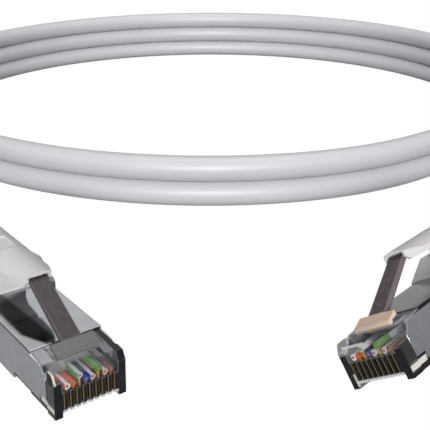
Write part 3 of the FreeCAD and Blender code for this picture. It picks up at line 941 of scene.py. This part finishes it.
@dataclass
class Plug:
    """One end of the cable: the modular plug, its shield, latch, conductors and boot."""

    end: End
    lie: Lie
    look: PlugLook
    nose_edge: float = 0.14
    sheet_edge: float = 0.12
    latch_edge: float = 0.12
    boot_edge: float = 0.55
    guard_edge: float = 0.35
    crease: float = 32.0
    boot_crease: float = 40.0
    boot_vinyl: Colour = from_screen(220, 217, 218)
    small_grain: Grain = Grain(2.0, 3.0, 0.6)

    def node(self, stem: str) -> str:
        """The full name of one of this plug's nodes."""
        return f"{stem}_{self.end.value}"

    def refined(self, stem: str, piece_name: str, edge: float, crease: float,
                material: bpy.types.Material) -> bpy.types.Object:
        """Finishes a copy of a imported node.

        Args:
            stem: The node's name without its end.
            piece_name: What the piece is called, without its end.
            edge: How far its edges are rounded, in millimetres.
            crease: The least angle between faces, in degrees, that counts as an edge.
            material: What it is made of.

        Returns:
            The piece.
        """
        piece = Bench.copy_of(self.node(stem), self.node(piece_name))
        Bench.eased(piece, edge, crease)
        Bench.dress(piece, material)
        LOG.info("%s: %d faces", piece.name, len(piece.data.polygons))
        return piece

    def build(self) -> None:
        """Builds and dresses everything on this end."""
        place = self.lie.matrix()
        self.build_nose(place)
        self.build_latch(place)
        self.build_shield(place)
        self.build_boot()
        self.dress_conductors(place)
        self.dress_small_parts(place)

    def build_nose(self, place: Matrix) -> None:
        """Builds the clear housing.

        Args:
            place: This plug's place in the room, in metres.
        """
        clear = ClearNose(self.node("clear polycarbonate"), place, self.look.painted_cream_light_share)
        nose = self.refined("plug_housing", "clear_nose", self.nose_edge, self.crease, clear.make())
        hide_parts(self.node("plug_housing"))
        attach(nose, ROOT_BODY)

    def build_shield(self, place: Matrix) -> None:
        """Builds the folded steel shield.

        Args:
            place: This plug's place in the room, in metres.
        """
        look = self.look
        steel = SheetSteel(self.node("nickel-plated sheet"), place, look.steel, look.seam_width,
                           look.painted_reflection_share, look.painted_top_shade)
        shell = self.refined("shield", "shield_shell", self.sheet_edge, self.crease, steel.make())
        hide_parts(self.node("shield"))
        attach(shell, ROOT_BODY)

    def build_latch(self, place: Matrix) -> None:
        """Builds the latch, which bends on its own.

        Args:
            place: This plug's place in the room, in metres.
        """
        smoky = SmokyLatch(self.node("smoky polycarbonate"), place, self.look.tint_and_painted_light)
        strap = self.refined("latch", "latch_strap", self.latch_edge, self.crease, smoky.make())
        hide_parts(self.node("latch"))
        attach(strap, self.node("latch"))

    def build_boot(self) -> None:
        """Builds the boot, and the hood that bends over the latch."""
        vinyl = Vinyl(self.node("boot vinyl"), self.boot_vinyl, roughness=0.5, grain=Grain(2.4, 3.0, 0.6),
                      grain_depth=0.02, shine=0.25).make()
        boot = self.refined("boot", "snagless_boot", self.boot_edge, self.boot_crease, vinyl)
        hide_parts(self.node("boot"))
        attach(boot, ROOT_BODY)
        hood = self.refined("latch_guard", "guard_hood", self.guard_edge, self.crease, vinyl)
        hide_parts(self.node("latch_guard"))
        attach(hood, self.node("latch_guard"))

    def dress_conductors(self, place: Matrix) -> None:
        """Gives each conductor its coloured insulation.

        Args:
            place: This plug's place in the room, in metres.
        """
        white, pale = from_screen(238, 238, 240), from_screen(196, 194, 196)
        orange = from_screen(206, 82, 30)
        green = from_screen(76, 140, 50)
        blue = from_screen(58, 66, 146)
        brown = from_screen(126, 76, 46)
        order = [("white_orange", white, orange), ("orange", orange, None), ("white_green", pale, green),
                 ("blue", blue, None), ("white_blue", pale, blue), ("green", green, None),
                 ("white_brown", pale, brown), ("brown", brown, None)]
        for pin, (name, colour, stripe) in enumerate(order, start=1):
            across = CONTACT_PITCH * ((len(order) + 1) / 2 - pin)
            finish = Insulation(self.node("insulation " + name), place, colour, stripe, across)
            Bench.dress(bpy.data.objects[self.node("conductor_" + name)], finish.make())

    def dress_small_parts(self, place: Matrix) -> None:
        """Dresses the contacts and the parts inside, which keep their own shape.

        Args:
            place: This plug's place in the room, in metres.
        """
        fine = self.small_grain
        finishes = {
            "contact_blades": Plating(self.node("gold plate"), from_screen(196, 170, 100),
                                      roughness=0.3, pattern=fine, metal=0.45),
            "conductor_cores": Plating(self.node("copper"), from_screen(190, 138, 112),
                                       roughness=0.45, pattern=fine, metal=0.6),
            "foil_wrap": Plating(self.node("foil"), from_screen(200, 200, 204),
                                 roughness=0.28, pattern=Grain(1.2, 3.0, 0.6)),
            "crimp_ring": Plating(self.node("crimp ring"), from_screen(168, 170, 174),
                                  roughness=0.32, pattern=Grain(1.5, 3.0, 0.6)),
            "braid_collar": Weave(self.node("tinned braid"), place),
            "load_bar": Vinyl(self.node("load bar"), from_screen(208, 206, 198),
                              roughness=0.4, grain=fine, grain_depth=0.02),
            "jacket_end": Vinyl(self.node("jacket end"), from_screen(206, 206, 210),
                                roughness=0.4, grain=fine, grain_depth=0.015),
        }
        for stem, finish in finishes.items():
            Bench.dress(bpy.data.objects[self.node(stem)], finish.make())


@dataclass
class Cable:
    """The free cable between the two boots: a coil of two and a half turns and a tail to each plug.

    Its length and the tails' points are in metres, and its other sizes in millimetres.
    """

    diameter: float = 6.0
    coil_radius: float = 91.0
    coil_centre: tuple[float, float] = (-5.4, 153.6)
    coil_start: float = 20.0
    coil_turns: float = 2.5
    coil_step: float = 15.0
    climbs: tuple[float, ...] = (270.0, 630.0)
    climb_run: float = 90.0
    length: float = 1.727
    jacket: Colour = from_screen(207, 207, 211)
    jacket_grain: Grain = Grain(1.8, 3.0, 0.6)
    roundness: int = 8
    tail_a: tuple[tuple[float, float, float], ...] = (
        (-0.04926, 0.01827, 0.00555), (-0.06522, 0.03877, 0.0065), (-0.0776, 0.0678, 0.0110),
        (-0.07997, 0.09241, 0.0150))
    tail_b: tuple[tuple[float, float, float], ...] = (
        (0.09106, 0.15465, 0.0030), (0.0962, 0.1339, 0.0030), (0.0958, 0.1079, 0.0030),
        (0.0908, 0.0824, 0.0032), (0.0811, 0.0583, 0.0052), (0.06733, 0.03644, 0.00988),
        (0.04949, 0.01757, 0.00864))

    def height(self, angle: float) -> float:
        """Works out how high the cable lies on the coil.

        Args:
            angle: The angle along the coil in degrees, from its lower end.

        Returns:
            The height of its middle in millimetres. Each level pass is a diameter above the last.
        """
        level = 0.0
        for climb in self.climbs:
            share = min(1.0, max(0.0, (angle - climb) / self.climb_run))
            level += share * share * (3 - 2 * share)
        return self.diameter * (0.5 + level)

    def coil(self) -> list[tuple[float, float, float]]:
        """Works out the coil's control points, on a ring whose smooth line has the coil's radius.

        Returns:
            The points from the top end down, in metres.
        """
        ring = self.coil_radius / math.cos(math.radians(self.coil_step / 2))
        count = round(self.coil_turns * 360 / self.coil_step)
        points = []
        for index in range(count + 1, -1, -1):
            along = self.coil_step * (index - 0.5)
            angle = math.radians(self.coil_start + along)
            points.append((MM * (self.coil_centre[0] + ring * math.cos(angle)),
                           MM * (self.coil_centre[1] + ring * math.sin(angle)), MM * self.height(along)))
        return points

    def build(self) -> None:
        """Lays the cable as one smooth line and gives it its round jacket."""
        curve = bpy.data.curves.new("jacketed_cable", "CURVE")
        curve.dimensions = "3D"
        spline = curve.splines.new("NURBS")
        route = [*self.tail_a, *self.coil(), *self.tail_b]
        spline.points.add(len(route) - 1)
        for point, spot in zip(spline.points, route):
            point.co = (*spot, 1.0)
        spline.order_u = 3
        spline.use_endpoint_u = True
        spline.resolution_u = self.roundness
        spline.use_smooth = True
        curve.bevel_depth = self.diameter / 2 * MM
        curve.bevel_resolution = self.roundness
        curve.use_fill_caps = True
        cable = bpy.data.objects.new("jacketed_cable", curve)
        bpy.context.scene.collection.objects.link(cable)
        finish = Vinyl("jacket vinyl", self.jacket, roughness=0.42, grain=self.jacket_grain,
                       grain_depth=0.012)
        curve.materials.append(finish.make())
        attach(cable, ROOT_BODY)
        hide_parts("cable_tail_a", "cable_coil", "cable_tail_b")
        LOG.info("jacketed_cable: %d points", len(route))


@dataclass(frozen=True)
class Lamp:
    """A square softbox: its name, its place and width in millimetres, and its power in watts."""

    name: str
    place: tuple[float, float, float]
    width: float
    power: float


@dataclass
class Studio:
    """The camera, the soft lights and the white floor."""

    camera_place: tuple[float, float, float] = (-3.95, -116.63, 70.05)
    tilt: float = 22.04
    focal_pixels: float = 820.76
    frame_pixels: float = 430.0
    sensor_width: float = 36.0
    nearest: float = 5.0
    farthest: float = 20000.0
    floor_width: float = 12000.0
    floor_back: float = 3000.0
    floor_paper: Colour = (0.22, 0.22, 0.23)
    floor_glow: float = 1.13
    floor_white: float = 0.88
    floor_shine: float = 0.46
    ambient: float = 0.07
    ceiling_level: float = 0.3
    ceiling_soft: float = 0.2
    horizon_share: float = 0.38
    aim: tuple[float, float, float] = (0.0, 60.0, 5.0)
    lamps: tuple[Lamp, ...] = (
        Lamp("key softbox", (-10.0, -2200.0, 860.0), 840.0, 58.5),
        Lamp("overhead softbox", (60.0, 250.0, 1100.0), 700.0, 4.4),
    )

    def build(self) -> None:
        """Sets up everything that isn't the cable."""
        self.set_camera()
        self.set_world()
        self.lay_floor()
        for lamp in self.lamps:
            self.hang(lamp)

    def set_camera(self) -> None:
        """Puts the camera where the photograph was taken from."""
        data = bpy.data.cameras.new("camera")
        data.sensor_width = self.sensor_width
        data.lens = self.sensor_width * self.focal_pixels / self.frame_pixels
        data.clip_start = self.nearest * MM
        data.clip_end = self.farthest * MM
        camera = bpy.data.objects.new("camera", data)
        camera.location = [c * MM for c in self.camera_place]
        camera.rotation_euler = (math.radians(90 - self.tilt), 0.0, 0.0)
        bpy.context.scene.collection.objects.link(camera)
        bpy.context.scene.camera = camera

    def white_share(self, graph: Graph, shine: float) -> Socket:
        """Finds the rays that see the background: the camera's, those through plastic and those off metal.

        Args:
            graph: The graph that needs it.
            shine: How much of the white the rays off metal see.

        Returns:
            The mask.
        """
        path = graph.node("ShaderNodeLightPath")
        camera, glossy, through, bounced = (graph.socket(path, name) for name in (
            "Is Camera Ray", "Is Glossy Ray", "Is Transmission Ray", "Diffuse Depth"))
        return camera.highest(through).highest(glossy * shine * (1 - bounced.lowest(1.0)))

    def set_world(self) -> None:
        """Gives the room a plain soft light and a white background."""
        world = bpy.data.worlds.new("studio")
        bpy.context.scene.world = world
        world.use_nodes = True
        graph = Graph(world.node_tree)
        way = graph.node("ShaderNodeTexCoord")
        parts = graph.node("ShaderNodeSeparateXYZ", Vector=graph.socket(way, "Generated"))
        ceiling = graph.socket(parts, "Z").over(self.ceiling_level, self.ceiling_soft)
        ceiling = ceiling * (1 - self.horizon_share) + self.horizon_share
        seen = self.white_share(graph, 0.0)
        shining = self.white_share(graph, 1.0) * ceiling
        strength = shining.highest(seen) * (1 - self.ambient) + self.ambient
        light = graph.node("ShaderNodeBackground", Color=WHITE, Strength=strength)
        graph.node("ShaderNodeOutputWorld", Surface=graph.socket(light, "Background"))

    def lay_floor(self) -> None:
        """Lays the white floor, which keeps a faint shadow."""
        bpy.ops.object.select_all(action="DESELECT")
        bpy.ops.mesh.primitive_plane_add(size=self.floor_width * MM,
                                         location=(0.0, self.floor_back * MM, 0.0))
        floor = bpy.context.object
        floor.name = "floor"
        material = bpy.data.materials.new("white floor")
        material.use_nodes = True
        graph = Graph(material.node_tree)
        paper = graph.node("ShaderNodeBsdfDiffuse", Color=self.floor_paper)
        glow = graph.node("ShaderNodeEmission", Color=WHITE, Strength=self.floor_glow)
        share = self.white_share(graph, self.floor_shine) * self.floor_white
        mix = graph.node("ShaderNodeMixShader", Fac=share)
        for slot, shader in zip(mix.inputs[1:], ((paper, "BSDF"), (glow, "Emission"))):
            graph.set(slot, graph.socket(*shader))
        graph.node("ShaderNodeOutputMaterial", Surface=graph.socket(mix, "Shader"))
        floor.data.materials.append(material)

    def hang(self, lamp: Lamp) -> None:
        """Hangs one softbox that points at the cable.

        Args:
            lamp: The softbox.
        """
        data = bpy.data.lights.new(lamp.name, "AREA")
        data.size = lamp.width * MM
        data.energy = lamp.power
        hung = bpy.data.objects.new(lamp.name, data)
        hung.location = [c * MM for c in lamp.place]
        hung.rotation_euler = (Vector(self.aim) - Vector(lamp.place)).to_track_quat("-Z", "Y").to_euler()
        bpy.context.scene.collection.objects.link(hung)


LEFT_LIE = Lie(nose=(-21.7237, -17.1019, 0.0), heading=-52.1, tip=2.1038, lean=0.0)
RIGHT_LIE = Lie(nose=(20.2967, -16.4751, 3.2657), heading=-133.4, tip=2.7334, lean=34.0)
# The right plug's painted light and shade: a lighter latch with a cream base, painted cream highlights on
# its nose, no painted reflection and a painted shade on the shield's top.
RIGHT_LOOK = PlugLook(
    tint_and_painted_light=LatchTintAndPaintedLight(strap=from_screen(106, 88, 86), deep=from_screen(62, 58, 64),
                   flank=from_screen(116, 104, 108), base=from_screen(240, 210, 188)),
    steel=from_screen(168, 170, 174), seam_width=0.55, painted_cream_light_share=0.9, painted_reflection_share=0.0, painted_top_shade=0.95)


def main() -> None:
    """Builds the cable, its two plugs and the studio."""
    logging.basicConfig(level=logging.INFO, format="%(name)s: %(message)s")
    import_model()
    bpy.context.scene.view_settings.view_transform = "Standard"
    Studio().build()
    Cable().build()
    Plug(End.LEFT, LEFT_LIE, PlugLook()).build()
    Plug(End.RIGHT, RIGHT_LIE, RIGHT_LOOK).build()


if __name__ == "__main__":
    main()
